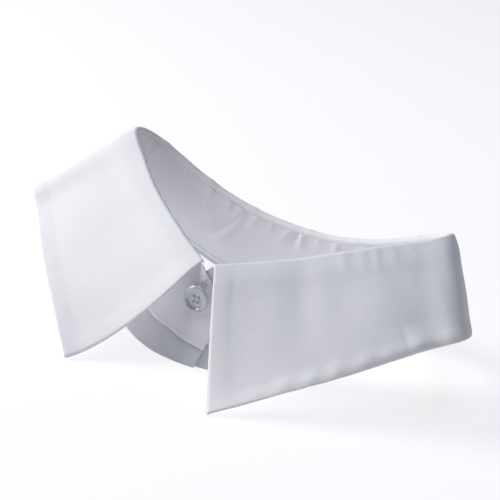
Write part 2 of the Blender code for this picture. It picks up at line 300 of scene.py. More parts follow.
# cut says where each point lies on the cut cloth, or along and round a thread, in mm, for the weave or twist
def linkObject(name, points, faces, cut):
    mesh = bpy.data.meshes.new(name)
    mesh.from_pydata((points * mm).tolist(), [], faces)
    mesh.polygons.foreach_set("use_smooth", np.ones(len(mesh.polygons), bool))
    layer = mesh.attributes.new("cut", "FLOAT_VECTOR", "POINT")
    layer.data.foreach_set("vector", (cut * mm).astype(np.float32).ravel())
    mesh.update()
    piece = bpy.data.objects.new(name, mesh)
    bpy.context.scene.collection.objects.link(piece)
    return piece


# closes a grid of middle points into a thin wall with rounded edges
def clothObject(name, middle, half, relief):
    middle = middle + outward(middle) * relief[..., None]
    normal = outward(middle)
    outer, inner = middle + normal * half[..., None], middle - normal * half[..., None]
    n, m = middle.shape[:2]
    along, across = runLength(middle, 0), runLength(middle, 1)
    cut = np.stack([along - along[n // 2], across, np.zeros((n, m))], axis=-1).reshape(-1, 3)
    index = np.arange(n * m).reshape(n, m)
    back = index + n * m
    rim = np.ones((n, m), bool)
    rim[1:-1, 1:-1] = False
    back[rim] = index[rim]  # both faces share the points of the rim
    front = np.stack([index[:-1, :-1], index[1:, :-1], index[1:, 1:], index[:-1, 1:]], axis=-1)
    under = np.stack([back[:-1, :-1], back[:-1, 1:], back[1:, 1:], back[1:, :-1]], axis=-1)
    faces = np.concatenate([front.reshape(-1, 4), under.reshape(-1, 4)])
    used, faces = np.unique(faces, return_inverse=True)
    points = np.concatenate([outer.reshape(-1, 3), inner.reshape(-1, 3)])[used]
    piece = linkObject(name, points, faces.reshape(-1, 4).tolist(), np.concatenate([cut, cut])[used])
    print("  ", name, len(used), "points, cut", np.ptp(cut, axis=0).round(1)[:2], "mm")
    return piece


leafCloth = {
    "alongStep": 0.95,      # mesh spacing along the neck, mm
    "acrossStep": 0.95,     # and from the fold to the edge
    "rollStep": 0.4,        # closer over the fold itself
    "rollReach": 3.2,
    "half": 0.45,           # half the leaf's thickness, two layers and a fused lining
    "halfAtEdge": 0.56,     # where the seam allowance lies inside
    "allowance": 6.3,       # width of that allowance
    "allowanceSoft": 2.2,   # over how much its edge shows through
    "edgeRound": 0.6,
    "seamRound": 0.12,      # the sewn inner edge is cut square
    "cornerRound": 1.1,     # the points and the lower corners are softly turned
    "frontBow": (2.3, 0.3), # how far the front edges bow out at mid depth, wearer's right and left
    "bowReach": 45.0,
    "frontTurn": (0.10, 0.34),  # how far the allowance makes the front edges drop, wearer's right and left
    "frontReach": 5.6,
    "edgeLift": 0.38,       # how far it makes the lower edge stand out
    "shoulder": (0.45, 8.0, 6.0),   # a soft swell below the fold: height, place, half width
}

# along the neck (wearer's left is above 0), mm from the fold, the same at the end, half width, height, bow
leafCreases = [
    (134.0, 4.0, 140.0, 56.0, 23.0, 2.1, 0.0),     # the wearer's left wing swells as a whole
    (118.5, 40.0, 119.0, 62.0, 13.0, 1.9, 0.0),    # more so low down, towards its side
    (109.0, 0.0, 107.0, 22.0, 9.0, -0.8, 0.0),     # and sinks in just before the turn
    (139.0, -2.0, 141.0, 9.0, 1.7, 0.22, 0.4),     # short ridges over the fold, wearer's left
    (132.0, -2.0, 133.8, 9.5, 1.9, 0.19, -0.3),
    (125.3, -2.0, 127.8, 9.5, 1.5, 0.24, 0.3),
    (118.8, -2.0, 120.2, 11.0, 2.1, 0.22, 0.5),
    (111.8, -2.0, 111.0, 8.0, 2.6, 0.16, 0.0),
    (157.0, 5.0, 160.0, 37.0, 4.2, -0.34, 1.0),    # the long trough in the wearer's left wing
    (150.8, 11.0, 149.6, 30.0, 4.4, 0.20, 0.0),
    (170.0, 9.0, 172.5, 42.0, 6.2, 0.26, -1.0),
    (138.0, 14.0, 146.0, 35.0, 6.5, -0.30, 2.0),
    (128.0, 20.0, 133.0, 40.0, 5.6, 0.20, 0.0),
    (113.0, 7.0, 116.5, 24.0, 5.0, 0.27, 1.0),
    (118.5, 32.0, 112.0, 54.0, 5.5, -0.36, 0.0),
    (126.2, 41.0, 125.4, 53.0, 1.2, -0.24, 0.3),   # a small dent near the corner
    (104.0, 22.0, 101.0, 46.0, 5.0, 0.22, 1.0),
    (183.7, 3.0, 184.8, 28.0, 1.7, -0.10, 0.0),    # beside the front edge
    (-128.0, 46.0, -145.0, 53.0, 5.0, -0.14, 0.0), # the wearer's right wing is smoother
    (-154.5, 49.5, -166.0, 46.5, 4.0, -0.10, 0.0),
    (-184.0, 9.0, -180.0, 23.0, 3.2, -0.09, 0.0),
    (-150.0, 8.0, -145.0, 42.0, 9.0, -0.18, 2.0),
    (-168.0, 12.0, -172.0, 46.0, 8.0, 0.12, -1.0),
    (-117.0, 4.0, -121.0, 30.0, 6.0, 0.12, 1.0),
    (-96.0, -2.0, -97.5, 9.0, 2.2, 0.26, 0.3),     # over the fold at the hidden back
    (-71.5, -2.0, -70.0, 7.0, 1.8, 0.29, -0.3),
    (-44.5, -2.0, -46.5, 11.0, 2.4, 0.31, 0.5),
    (-21.0, -2.0, -20.2, 6.5, 1.7, 0.22, 0.0),
    (7.5, -2.0, 9.2, 8.5, 2.1, 0.31, 0.4),
    (31.5, -2.0, 30.2, 7.5, 1.6, 0.26, -0.3),
    (62.0, -2.0, 64.5, 10.5, 2.3, 0.32, 0.4),
    (88.0, -2.0, 87.0, 8.0, 2.0, 0.24, 0.0),
    (-86.0, 10.0, -80.0, 42.0, 7.0, -0.42, 2.0),   # long soft ones down the hidden back
    (-61.0, 6.0, -66.0, 34.0, 6.0, 0.34, -1.0),
    (-33.0, 17.0, -27.5, 46.0, 8.0, -0.34, 1.5),
    (-4.0, 9.0, -8.5, 38.0, 6.6, 0.33, -1.5),
    (24.0, 14.0, 30.0, 47.0, 6.4, -0.40, 1.0),
    (51.0, 8.0, 47.0, 31.0, 5.4, 0.31, 1.0),
    (74.0, 12.0, 79.0, 44.0, 7.2, -0.37, -2.0),
    (93.0, 10.0, 90.0, 36.0, 5.0, 0.28, 1.0),
]

# along the neck, half width, height, reach from the free edge
leafRipples = [
    (168.6, 3.2, 0.60, 12.0), (160.6, 2.7, 0.66, 10.5), (152.4, 3.1, 0.64, 12.0), (142.8, 3.6, 0.62, 11.0),
    (134.0, 2.8, 0.38, 9.0), (122.5, 3.4, 0.42, 10.0), (107.0, 3.6, 0.32, 9.0), (178.0, 2.8, 0.30, 8.0),
    (-172.0, 4.0, 0.07, 8.0), (-151.0, 3.4, 0.09, 7.0), (-131.0, 3.8, 0.08, 9.0), (-112.0, 3.2, 0.12, 8.0),
    (-98.0, 2.8, 0.34, 7.0), (-84.0, 3.4, 0.40, 9.5), (-67.0, 2.6, 0.32, 7.5), (-50.5, 3.6, 0.44, 10.0),
    (-36.0, 2.4, 0.27, 6.5), (-19.0, 3.0, 0.40, 8.5), (-2.0, 3.4, 0.29, 7.5), (12.5, 2.5, 0.38, 8.0),
    (29.0, 3.3, 0.42, 9.0), (48.0, 2.8, 0.29, 7.0), (60.5, 3.0, 0.42, 9.5), (77.0, 2.6, 0.32, 7.5),
    (90.0, 3.2, 0.38, 8.5),
]


# moves points near a corner of the cut onto a rounded corner; both distances are in mm
def roundCorner(toEnd, toEdge, radius):
    a = np.clip(1.0 - toEnd / radius, 0.0, 1.0)
    b = np.clip(1.0 - toEdge / radius, 0.0, 1.0)
    endShift, edgeShift = a - a * np.sqrt(1.0 - b * b / 2.0), b - b * np.sqrt(1.0 - a * a / 2.0)
    return toEnd + endShift * radius, toEdge + edgeShift * radius


def makeLeaf():
    half, depth = collar["halfNeck"] * collar["wingStart"], 52.0
    alongs = spaced(2.0 * half, leafCloth["alongStep"]) - half
    leg = float(foldDown(0.0))
    legRows = spaced(leg, leafCloth["rollStep"], ends=(True, False)) - leg  # below 0 on the neck's side of the fold
    rollRows = np.arange(0.0, leafCloth["rollReach"], leafCloth["rollStep"])
    flatRows = spaced(depth - leafCloth["rollReach"], leafCloth["acrossStep"], ends=(False, True))
    rows = np.concatenate([legRows[:-1], rollRows, leafCloth["rollReach"] + flatRows])
    s, w = np.meshgrid(alongs, rows, indexing="ij")
    crest, deep = foldDown(s / collar["halfNeck"]), leafDepth(s / collar["halfNeck"])
    down = np.where(w < 0.0, crest * (1.0 + w / leg), crest + w / depth * (deep - crest))
    toEnd, toEdge = roundCorner(half - abs(s), deep - down, leafCloth["cornerRound"])
    ways = np.sign(s) * (half - toEnd) / collar["halfNeck"]
    down = deep - toEdge
    middle = leafMiddle(ways, down)
    share = np.clip((down - crest) / (deep - crest), 0.0, 1.0)
    for side, bow in zip((-1, 1), leafCloth["frontBow"]):  # the front edges aren't quite straight
        end = 0 if side < 0 else -1
        out = unit(middle[end] - middle[end - 12 * side])[None]
        near = smoothStep(1.0 - (half - side * s) / leafCloth["bowReach"])
        middle = middle + out * (bow * near * 4.0 * share * (1.0 - share))[..., None]
    place, across = ways * collar["halfNeck"], down - crest
    relief = creaseRelief(place, across, leafCreases) + rippleRelief(place, toEdge, leafRipples)
    nearest = np.minimum(toEnd, toEdge)
    relief *= smoothStep((nearest + 3.0) / 6.0)  # the seam holds the edge itself straighter
    drop = np.where(s < 0.0, *leafCloth["frontTurn"]) * smoothStep(across / 6.0)
    relief -= drop * (1.0 - np.clip(toEnd / leafCloth["frontReach"], 0.0, 1.0)) ** 1.5
    relief += leafCloth["edgeLift"] * (1.0 - smoothStep(toEdge / (leafCloth["allowance"] + 1.5)))
    high, below, wide = leafCloth["shoulder"]
    relief += high * np.exp(-((across - below) / wide) ** 2)
    inside = smoothStep((nearest - leafCloth["allowance"]) / leafCloth["allowanceSoft"] + 0.5)
    inside = np.maximum(inside, smoothStep(1.0 - across / 12.0))  # the allowance dies out at the fold
    fat = leafCloth["halfAtEdge"] + (leafCloth["half"] - leafCloth["halfAtEdge"]) * inside
    thick = roundedEdge(nearest, fat, leafCloth["edgeRound"])
    thick = np.minimum(thick, roundedEdge(down, fat, leafCloth["seamRound"]))
    return clothObject("leafCloth", middle, thick, relief)


leaf = makeLeaf()
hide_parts("collar_leaf")
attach(leaf, "root")
print("stage: leaf")

standCloth = {
    "alongStep": 1.0,
    "acrossStep": 0.7,
    "half": 0.52,
    "edgeRound": 0.3,
    "seamRound": 0.12,
    "halfAtFoot": 0.72,     # the seam to the strip is turned in and thicker
    "footRound": 0.08,
    "endStart": 192.0,      # from here on the top corner of each lapped end slopes down
    "endDrop": 16.0,
    "endCurve": 0.87,
    "endSlant": 2.5,        # the ends lean by this much
    "endRise": 0.4,         # past the leaf's end the top comes up level with the fold
    "stitchInset": 1.8,     # the topstitching's distance from the edges
    "stitchGroove": 0.06,   # how deep it pulls the cloth in
    "grooveWide": 0.9,
}

# along the neck, mm below the seam, the same at the end, half width, height (outward), bow
standCreases = [
    (-42.3, -1.0, -45.7, 7.8, 1.5, -0.83, 0.3),    # puckers below the seam, seen inside the back
    (-31.8, -1.0, -33.7, 5.2, 1.1, -0.75, 0.0),
    (-25.4, -1.0, -39.2, 20.1, 1.6, -1.27, 1.0),
    (-22.6, 0.0, -33.4, 17.6, 1.9, 0.46, 1.0),
    (-16.8, -1.0, -21.4, 6.0, 1.2, -0.83, 0.2),
    (-9.8, -1.0, -11.0, 3.3, 1.0, -0.61, 0.0),
    (-0.8, -1.0, -6.7, 8.7, 1.5, -0.69, 0.4),
    (3.3, -1.0, 1.0, 5.2, 1.0, 0.76, 0.0),
    (5.6, -1.0, 4.0, 6.6, 1.2, -0.99, 0.0),
    (13.5, -1.0, 12.3, 3.6, 1.3, -0.48, 0.0),
    (22.6, -1.0, 21.0, 4.7, 1.3, -0.69, 0.0),
    (36.0, -1.0, 32.8, 6.3, 1.6, -0.57, 0.3),
    (51.5, -1.0, 49.7, 4.4, 1.3, -0.65, 0.0),
    (66.0, -1.0, 61.3, 8.5, 1.6, -0.41, 0.4),
    (84.0, -1.0, 82.7, 4.7, 1.5, -0.46, 0.0),
    (103.0, -1.0, 99.0, 9.0, 1.8, -0.50, 0.3),
    (128.0, -1.0, 126.7, 4.9, 1.3, -0.38, 0.0),
    (149.0, -1.0, 144.9, 7.4, 1.6, -0.46, 0.2),
    (-57.0, -1.0, -59.0, 5.8, 1.5, -0.38, 0.0),
    (-74.0, -1.0, -78.7, 9.3, 1.8, -0.46, 0.3),
    (-97.0, -1.0, -98.3, 4.9, 1.3, -0.41, 0.0),
    (-121.0, -1.0, -125.0, 7.9, 1.6, -0.43, 0.2),
    (-146.0, -1.0, -147.3, 4.7, 1.5, -0.38, 0.0),
    (-62.0, 5.0, -68.0, 27.0, 7.0, 0.26, 1.5),     # broader ones down the band
    (-12.0, 8.0, -8.0, 27.0, 6.0, -0.20, 1.0),
    (33.0, 5.0, 40.0, 25.0, 6.5, 0.24, -1.0),
    (72.0, 8.0, 68.0, 26.0, 7.0, -0.22, 1.0),
    (-104.0, 6.0, -99.0, 25.0, 6.0, -0.20, -1.0),
    (118.0, 6.0, 124.0, 24.0, 6.5, 0.20, 1.0),
    (-140.0, 5.0, -136.0, 22.0, 6.0, 0.18, 1.0),
    (-176.0, 10.0, -172.0, 22.0, 4.0, -0.14, 0.5),
    (160.0, 6.0, 166.0, 24.0, 5.5, -0.18, 1.0),
]

standRipples = [  # along the neck, half width, height (outward), reach up from the lower seam
    (-186.0, 2.4, 0.10, 6.0), (-173.0, 3.0, 0.13, 8.0), (-158.0, 2.6, -0.11, 6.5), (-133.0, 3.2, 0.15, 8.5),
    (-110.0, 2.6, -0.12, 7.0), (-91.0, 3.0, 0.14, 8.0), (-64.0, 2.4, -0.12, 6.0), (-43.0, 3.2, 0.15, 8.5),
    (-17.0, 2.6, -0.12, 6.5), (5.0, 3.0, 0.13, 8.0), (26.0, 2.5, 0.12, 6.0), (51.0, 3.2, -0.14, 8.5),
    (79.0, 2.6, 0.14, 7.0), (98.0, 3.0, -0.12, 8.0), (121.0, 2.5, 0.14, 6.5), (146.0, 3.2, 0.12, 8.0),
    (171.0, 2.6, -0.11, 7.0),
]


# mm from the fold's seam down to the seam between the stand and the strip
def seamDown(s):
    return ring.at("bandTall", s / collar["halfNeck"]) - ring.at("strip", s / collar["halfNeck"])


# and down to the stand's top edge, which slopes off at the lapped ends
def standTop(s):
    past = np.clip((abs(s) - standCloth["endStart"]) / (bandReach - standCloth["endStart"]), 0.0, 1.0)
    beyond = abs(s) - collar["halfNeck"] * collar["wingStart"] - 0.2
    rise = standCloth["endRise"] * smoothStep(beyond / 1.6)
    return standCloth["endDrop"] * (1.0 - (1.0 - past) ** standCloth["endCurve"]) - collar["seamClose"] - rise


bandReach = collar["halfNeck"] + collar["overlap"]


# where the band's cut lies: the lapped ends' slant, rounded top corners, and the seam to the strip
def bandGrid(settings, isStrip):
    alongs = spaced(2.0 * bandReach, settings["alongStep"]) - bandReach
    tall = 9.0 if isStrip else 32.0
    s, v = np.meshgrid(alongs, spaced(tall, settings["acrossStep"]) / tall, indexing="ij")
    past = np.clip((abs(s) - collar["halfNeck"]) / collar["overlap"], 0.0, 1.0)
    slant = (-0.5 - 0.6 * v) if isStrip else (0.5 - v)
    s = s + np.sign(s) * standCloth["endSlant"] * past * slant
    ways = s / collar["halfNeck"]
    full = ring.at("bandTall", ways)
    seam = seamDown(s)
    if isStrip:
        top, bottom = seam - settings["tuck"], full
    else:
        top, bottom = standTop(s), seam
    down = top + (bottom - top) * v
    toEnd = np.minimum(s - s[0:1], s[-1:] - s)
    return ways, down, toEnd, down - top, bottom - down


def makeStand():
    ways, down, toEnd, toTop, toFoot = bandGrid(standCloth, False)
    place = ways * collar["halfNeck"]
    isEnd = abs(place) > collar["halfNeck"] * collar["wingStart"]
    inset = np.minimum(toEnd, toFoot)
    inset = np.where(isEnd, np.minimum(inset, toTop), inset)
    relief = creaseRelief(place, down, standCreases) + rippleRelief(place, toFoot, standRipples)
    relief *= smoothStep((toEnd + 2.0) / 8.0)
    sides = np.where(isEnd, np.minimum(toEnd, toTop), toEnd)
    fat = standCloth["halfAtFoot"] + (standCloth["half"] - standCloth["halfAtFoot"]) * smoothStep(toFoot / 5.0)
    half = roundedEdge(sides, fat, standCloth["edgeRound"])
    half = np.minimum(half, roundedEdge(toTop, fat, standCloth["seamRound"]))
    half = np.minimum(half, roundedEdge(toFoot, fat, standCloth["footRound"]))
    groove = np.exp(-((inset - standCloth["stitchInset"]) / standCloth["grooveWide"]) ** 2)
    half = half - standCloth["stitchGroove"] * groove * smoothStep(inset / 0.8)
    return clothObject("standCloth", bandMiddle(ways, down), half, relief)


stand = makeStand()
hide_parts("stand")
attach(stand, "root")

stripCloth = {
    "alongStep": 1.1,
    "acrossStep": 0.7,
    "half": 0.30,
    "edgeRound": 0.4,
    "tuck": 0.5,            # how far its top is caught between the stand's two layers
    "groove": 0.27,         # how far it sinks in just below the stand's edge
    "grooveWide": 0.6,
    "sunk": (0.4, 3.5),     # and stands back under it by this much, over this far
}

stripCreases = [  # along the neck, mm below the fold's seam, the same at the end, half width, height, bow
    (-180.4, 32.0, -184.6, 39.0, 0.9, -0.24, 0.2),
    (-171.0, 33.0, -169.0, 41.0, 2.6, 0.20, 0.0),
    (-192.0, 31.0, -195.0, 38.0, 2.2, 0.14, 0.0),
    (-150.0, 30.0, -146.0, 41.0, 3.4, -0.24, 0.5),
    (152.0, 30.0, 149.0, 41.0, 3.2, 0.22, 0.5),
    (176.0, 31.0, 180.0, 40.0, 2.0, -0.20, 0.3),
]

stripRipples = [  # along the neck, half width, height, reach up from the free edge
    (-163.0, 4.0, 0.25, 9.0), (-128.0, 5.0, -0.30, 10.0), (-105.0, 3.6, 0.26, 8.0), (-82.0, 5.0, -0.24, 8.0),
    (-58.0, 4.2, 0.30, 8.0), (-31.0, 5.4, -0.26, 8.0), (-9.0, 3.8, 0.28, 8.0), (17.0, 4.6, -0.24, 8.0),
    (40.0, 4.0, 0.30, 8.0), (69.0, 5.2, -0.28, 8.0), (93.0, 3.8, 0.24, 8.0), (117.0, 5.0, -0.30, 10.0),
    (140.0, 4.2, 0.26, 10.0), (166.0, 4.0, -0.20, 9.0),
]


def makeStrip():
    ways, down, toEnd, toTop, toFoot = bandGrid(stripCloth, True)
    place = ways * collar["halfNeck"]
    relief = creaseRelief(place, down, stripCreases) + rippleRelief(place, toFoot, stripRipples)
    relief *= smoothStep((toEnd + 1.0) / 6.0) * smoothStep(toTop / 4.0)
    deep, long = stripCloth["sunk"]
    relief -= deep * (1.0 - smoothStep(toTop / long))
    near = np.minimum(np.minimum(toEnd, toTop), toFoot)
    thick = roundedEdge(near, stripCloth["half"], stripCloth["edgeRound"])
    thick -= stripCloth["groove"] * np.exp(-((toTop - stripCloth["tuck"]) / stripCloth["grooveWide"]) ** 2)
    return clothObject("stripCloth", bandMiddle(ways, down), np.maximum(thick, 0.0), relief)


strip = makeStrip()
for vertex in strip.data.vertices:  # the free edge stands on the floor
    vertex.co.z = max(vertex.co.z, 0.0)
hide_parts("strip")
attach(strip, "root")
print("stage: stand and strip")

sewingThread = {
    "stitch": 2.1,          # one stitch, mm
    "pitch": 2.5,           # and the next one starts here
    "thick": 0.30,
    "sink": 0.13,           # how far its ends go into the cloth
    "rings": 7,
    "sides": 6,
}


# many short threads as one mesh; each run is a line of points and the way up at each point, in mm
def threadObject(name, runs, thick, taper):
    sides = sewingThread["sides"]
    turns = np.arange(sides) * 2.0 * math.pi / sides
    points, faces, cut, start = [], [], [], 0
    for line, up in runs:
        line, up = np.asarray(line), unit(np.asarray(up))
        count = len(line)
        ahead = unit(np.gradient(line, axis=0))
        across = unit(np.cross(ahead, up))
        above = np.cross(across, ahead)
        length = np.concatenate([[0.0], np.cumsum(np.linalg.norm(np.diff(line, axis=0), axis=1))])
        wide = thick / 2.0 * (1.0 - taper + taper * np.sqrt(np.sin(np.linspace(0.06, math.pi - 0.06, count))))
        circle = across[:, None] * np.cos(turns)[:, None] + above[:, None] * np.sin(turns)[:, None]
        points.append((line[:, None] + circle * wide[:, None, None]).reshape(-1, 3))
        around = np.broadcast_to(turns / (2.0 * math.pi), (count, sides))
        cut.append(np.stack([np.broadcast_to(length[:, None], (count, sides)), around, around * 0.0], -1).reshape(-1, 3))
        index = start + np.arange(count * sides).reshape(count, sides)
        after = np.roll(index, -1, axis=1)
        faces += np.stack([index[:-1], after[:-1], after[1:], index[1:]], axis=-1).reshape(-1, 4).tolist()
        faces += [index[0][::-1].tolist(), index[-1].tolist()]
        start += count * sides
    return linkObject(name, np.concatenate(points), faces, np.concatenate(cut))


# points on a cloth's real surface: side is 1 for the outside, -1 for the side towards the neck
def onBand(tree, s, down, side):
    ways = s / collar["halfNeck"]
    out = ring.at("bandOut", ways) * side
    spots, ups = [], []
    for place, away in zip(bandMiddle(ways, down) + out * 1.2, out):
        spot, up = tree.find_nearest(Vector(place * mm))[:2]
        up = np.array(up)
        spots.append(np.array(spot) / mm)
        ups.append(up * np.sign(up @ away))
    return np.array(spots), np.array(ups)


def surfaceTree(piece):
    mesh = piece.data
    return BVHTree.FromPolygons([v.co for v in mesh.vertices], [p.vertices for p in mesh.polygons])


standTree = surfaceTree(stand)


# the topstitching's way round half the stand: the lower seam, the lapped end and its sloping corner
def topstitchPath(side):
    inset = standCloth["stitchInset"]
    low = np.arange(0.0, bandReach - inset, 0.5)
    corner = np.linspace(bandReach - inset, standCloth["endStart"] + 0.4, 24)
    cornerDown = standTop(corner) + 1.45 * inset  # measured square to the slope
    bottom = float(seamDown(side * low[-1])) - inset
    rise = np.linspace(bottom, cornerDown[0], 30)[1:-1]
    s = np.concatenate([low, np.full(len(rise), corner[0]), corner])
    down = np.concatenate([seamDown(side * low) - inset, rise, cornerDown])
    past = np.clip((s - collar["halfNeck"]) / collar["overlap"], 0.0, 1.0)
    top = standTop(s)
    return side * (s + standCloth["endSlant"] * past * (0.5 - (down - top) / (bottom + inset - top))), down


def topstitchRuns(side):
    (right, rightDown), (left, leftDown) = topstitchPath(-1.0), topstitchPath(1.0)
    s, down = np.concatenate([right[:0:-1], left]), np.concatenate([rightDown[:0:-1], leftDown])
    line = bandMiddle(s / collar["halfNeck"], down)
    length = np.concatenate([[0.0], np.cumsum(np.linalg.norm(np.diff(line, axis=0), axis=1))])
    share = np.linspace(0.0, 1.0, sewingThread["rings"])
    lift = sewingThread["thick"] * 0.42 + sewingThread["sink"]
    lift = lift * np.sin(math.pi * share) ** 0.6 - sewingThread["sink"]
    runs = []
    for k in range(int(length[-1] / sewingThread["pitch"])):
        start = (k + 0.12 * math.sin(2.3 * k)) * sewingThread["pitch"] + 0.2
        at = start + sewingThread["stitch"] * (1.0 + 0.05 * math.sin(1.7 * k)) * share
        spots, ups = onBand(standTree, np.interp(at, length, s), np.interp(at, length, down), side)
        runs.append((spots + ups * lift[:, None], ups))
    return runs


stitchPieces = []
for name, side in (("topstitchOutside", 1), ("topstitchInside", -1)):
    stitchPieces.append(threadObject(name, topstitchRuns(side), sewingThread["thick"], 0.45))
print("stage: topstitching")

shirtButton = {
    "width": 11.4,          # mm, a normal shirt front button
    "thick": 2.4,
    "drop": 10.4,           # below the fold's seam
    "aside": 0.7,           # and this far towards the wearer's left of the middle
    "hole": 1.4,
    "holeSpread": 1.35,
    "sides": 96,
    "threads": (-0.33, 0.0, 0.33),  # strands side by side through each pair of holes
    "profile": (            # shares of half the width and half the thickness, from the middle of the face
        (0.0, 0.24), (0.2, 0.24), (0.45, 0.25), (0.58, 0.29), (0.65, 0.38), (0.70, 0.52), (0.745, 0.70),
        (0.785, 0.86), (0.825, 0.96), (0.865, 1.0), (0.905, 0.97), (0.945, 0.85), (0.975, 0.64), (0.993, 0.36),
        (1.0, 0.06), (0.99, -0.22), (0.962, -0.48), (0.905, -0.70), (0.80, -0.86), (0.66, -0.94), (0.4, -0.98),
        (0.2, -1.0), (0.0, -1.0),
    ),
}


# the button's own directions in the room: sideways, up along the stand, and away from it
def buttonFrame():
    ways = np.array([-1.0])
    out = unit(ring.at("bandOut", ways) * np.array([1.0, 1.0, 0.0]))[0]
    low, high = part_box("button")
    middle = (np.array(low) + np.array(high)) / 2.0 / mm
    up = np.array([0.0, 0.0, 1.0])
    up = unit(up - out * (up @ out))
    return middle, np.cross(up, out), up, out


def toRoom(local):
    middle, across, up, out = buttonFrame()
    local = np.asarray(local, float)
    return middle + local[..., 0:1] * across + local[..., 1:2] * up + local[..., 2:3] * out


def makeButton():
    half, radius = shirtButton["thick"] / 2.0, shirtButton["width"] / 2.0
    turns = np.arange(shirtButton["sides"]) * 2.0 * math.pi / shirtButton["sides"]
    blank = bmesh.new()
    rings = []
    for reach, height in shirtButton["profile"]:
        corners = turns if reach > 0.0 else turns[:1]
        spots = [(reach * radius * math.cos(t), reach * radius * math.sin(t), height * half) for t in corners]
        rings.append([blank.verts.new(Vector(spot) * mm) for spot in spots])
    for upper, lower in zip(rings, rings[1:]):
        for k in range(shirtButton["sides"]):
            after = (k + 1) % shirtButton["sides"]
            face = [upper[k % len(upper)], lower[k % len(lower)], lower[after % len(lower)], upper[after % len(upper)]]
            blank.faces.new(list(dict.fromkeys(face)))
    bmesh.ops.recalc_face_normals(blank, faces=blank.faces)
    mesh = bpy.data.meshes.new("shirtButton")
    blank.to_mesh(mesh)
    blank.free()
    button = bpy.data.objects.new("shirtButton", mesh)
    bpy.context.scene.collection.objects.link(button)
    drills = []
    for k in range(4):
        angle = math.radians(45.0 + 90.0 * k)
        drill = bmesh.new()
        spot = Vector((math.cos(angle), math.sin(angle), 0.0)) * shirtButton["holeSpread"] * mm
        bmesh.ops.create_cone(drill, cap_ends=True, segments=28, radius1=shirtButton["hole"] / 2.0 * mm,
                              radius2=shirtButton["hole"] / 2.0 * mm, depth=4.0 * shirtButton["thick"] * mm)
        bmesh.ops.translate(drill, verts=drill.verts, vec=spot)
        data = bpy.data.meshes.new("drill")
        drill.to_mesh(data)
        drill.free()
        drills.append(bpy.data.objects.new("drill", data))
        bpy.context.scene.collection.objects.link(drills[-1])
        cutter = button.modifiers.new("hole", "BOOLEAN")
        cutter.operation, cutter.solver, cutter.object = "DIFFERENCE", "EXACT", drills[-1]
    soften = button.modifiers.new("soften", "BEVEL")
    soften.width, soften.segments, soften.angle_limit = 0.13 * mm, 3, math.radians(40.0)
    bpy.context.view_layer.update()
    final = bpy.data.meshes.new_from_object(button.evaluated_get(bpy.context.evaluated_depsgraph_get()))
    for drill in drills:
        data = drill.data
        bpy.data.objects.remove(drill)
        bpy.data.meshes.remove(data)
    button.modifiers.clear()
    button.data = final
    middle, across, up, out = buttonFrame()
    turned = Matrix([list(row) for row in np.stack([across, up, out], axis=1)]).to_4x4()
    final.transform(Matrix.Translation(Vector(middle * mm)) @ turned)
    final.polygons.foreach_set("use_smooth", np.ones(len(final.polygons), bool))
    final.set_sharp_from_angle(angle=math.radians(50.0))
    bpy.data.meshes.remove(mesh)
    return button


def buttonThreads():
    spread = shirtButton["holeSpread"] * math.sqrt(0.5)
    runs = []
    for x in (-spread, spread):
        for k, shift in enumerate(shirtButton["threads"]):
            over = 0.52 + 0.10 * (k == 1)
            half = [(0.35 * math.copysign(1.0, x) + shift * 0.6, 0.5, -3.9), (0.4 * x + shift, 0.6, -1.9),
                    (x + shift, spread + 0.1, -1.25), (x + shift, spread + 0.22, -0.5),
                    (x + shift, spread + 0.20, 0.05), (x + shift * 1.1, spread - 0.12, 0.40),
                    (x + shift * 1.25, spread - 0.55, over), (x + shift * 1.3, 0.0, over + 0.06)]
            other = [(px, -py, pz) for px, py, pz in half[-2::-1]]
            line = np.array(half + other)
            fine = np.linspace(0, len(line) - 1, 57)
            line = np.stack([np.interp(fine, np.arange(len(line)), line[:, c]) for c in range(3)], axis=1)
            for _ in range(3):  # rounds the corners off
                line[1:-1] = (line[:-2] + 2.0 * line[1:-1] + line[2:]) / 4.0
            runs.append((toRoom(line), np.broadcast_to(toRoom([[1.0, 0.0, 0.0]]) - toRoom([[0.0, 0.0, 0.0]]), line.shape)))
    return runs


# the same threads where they come out on the neck's side of the under layer
def insideThreads():
    runs = []
    share = np.linspace(0.0, 1.0, sewingThread["rings"])
    lift = 0.30 * np.sin(math.pi * share) ** 0.6 - 0.12
    for k, (s0, d0, s1, d1) in enumerate(((-1.1, -1.0, -0.9, 1.1), (-0.8, -1.1, -1.0, 1.0), (0.9, -1.1, 1.1, 1.0),
                                          (1.2, -0.9, 0.8, 1.1), (-1.0, 0.9, 1.0, -0.9))):
        place = collar["halfNeck"] - shirtButton["aside"] + s0 + (s1 - s0) * share
        spots, ups = onBand(standTree, place, shirtButton["drop"] + d0 + (d1 - d0) * share, -1)
        runs.append((spots + ups * (lift + 0.08 * (k == 4))[:, None], ups))
    return runs


buttonhole = {
    "long": 9.6,            # mm, up and down behind the button, which hides it
    "wide": 1.9,
    "slit": 0.3,
    "pitch": 0.40,
    "thick": 0.26,
}


